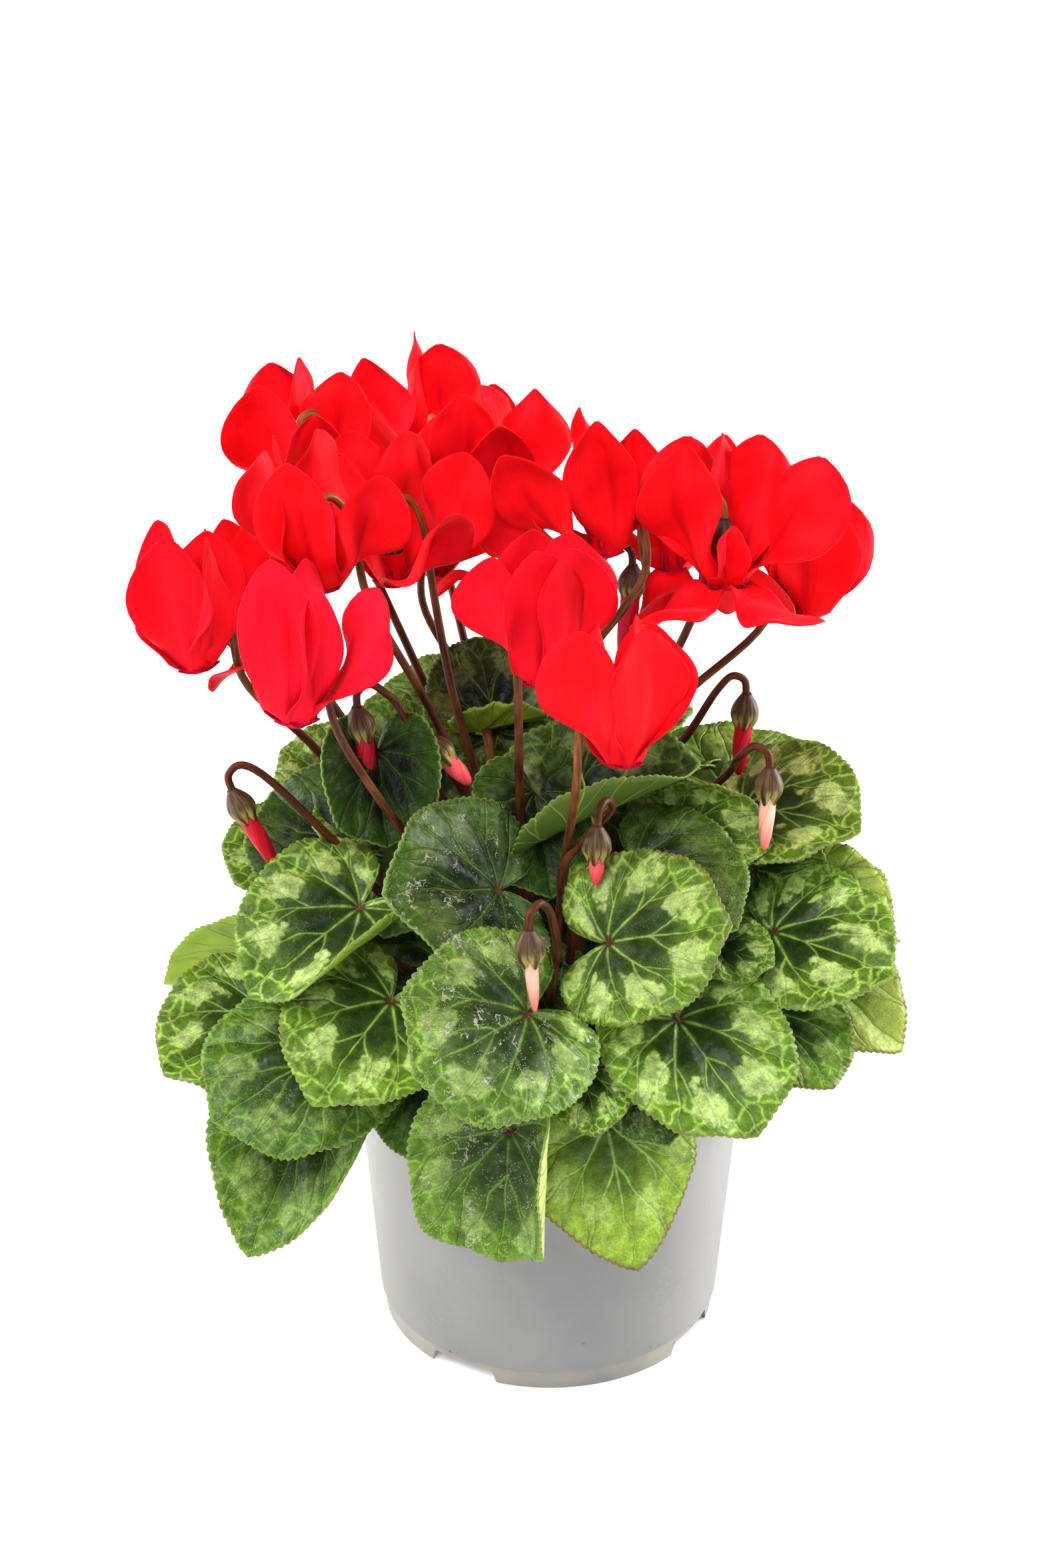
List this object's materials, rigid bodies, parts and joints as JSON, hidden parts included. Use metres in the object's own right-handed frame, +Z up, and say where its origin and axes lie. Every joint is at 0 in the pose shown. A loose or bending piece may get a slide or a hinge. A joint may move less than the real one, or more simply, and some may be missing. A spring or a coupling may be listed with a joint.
{
  "type": "potted cyclamen plant",
  "caption": "Flowering cyclamen with marbled heart-shaped leaves, swept-back scarlet blooms and hanging buds, in a tapered plastic nursery pot with soil.",
  "frame": {"origin": "middle of the pot's underside, on the plane that the pot stands on", "axes": "+Z up along the pot's axis, -Y towards the front, where two leaves hang over the rim"},
  "size_m": [0.2332, 0.2202, 0.2887],
  "materials": {
    "pot": "satin light lilac-grey plastic",
    "soil": "rough dark brown potting soil",
    "stem": "satin brown-maroon skin",
    "leaf": "satin dark green marbled with pale green",
    "bloom": "soft velvety scarlet",
    "bud_red": "soft crimson",
    "bud_coral": "soft coral",
    "bud_pale": "soft pale pink"
  },
  "bodies": {
    "root": {"pot": "pot", "soil": "soil", "corm_with_stems": "stem", "leaf_01": "leaf", "leaf_02": "leaf", "leaf_03": "leaf", "leaf_04": "leaf", "leaf_05": "leaf", "leaf_06": "leaf", "leaf_07": "leaf", "leaf_08": "leaf", "leaf_09": "leaf", "leaf_10": "leaf", "leaf_11": "leaf", "leaf_12": "leaf", "leaf_13": "leaf", "leaf_14": "leaf", "leaf_15": "leaf", "leaf_16": "leaf", "leaf_17": "leaf", "leaf_18": "leaf", "leaf_19": "leaf", "leaf_20": "leaf", "leaf_21": "leaf", "leaf_22": "leaf", "leaf_23": "leaf", "leaf_24": "leaf", "leaf_25": "leaf", "leaf_26": "leaf", "leaf_27": "leaf", "leaf_28": "leaf", "leaf_29": "leaf", "leaf_30": "leaf", "leaf_31": "leaf", "leaf_32": "leaf", "leaf_33": "leaf", "leaf_34": "leaf", "bloom_01": "bloom", "bloom_02": "bloom", "bloom_03": "bloom", "bloom_04": "bloom", "bloom_05": "bloom", "bloom_06": "bloom", "bloom_07": "bloom", "bloom_08": "bloom", "bloom_09": "bloom", "bloom_10": "bloom", "bloom_11": "bloom", "bloom_12": "bloom", "bloom_13": "bloom", "bloom_14": "bloom", "bloom_15": "bloom", "bud_01": "bud_red", "bud_02": "bud_red", "bud_03": "bud_coral", "bud_04": "bud_coral", "bud_05": "bud_pale", "bud_06": "bud_red", "bud_07": "bud_pale", "bud_08": "bud_red"}
  },
  "joints": []
}
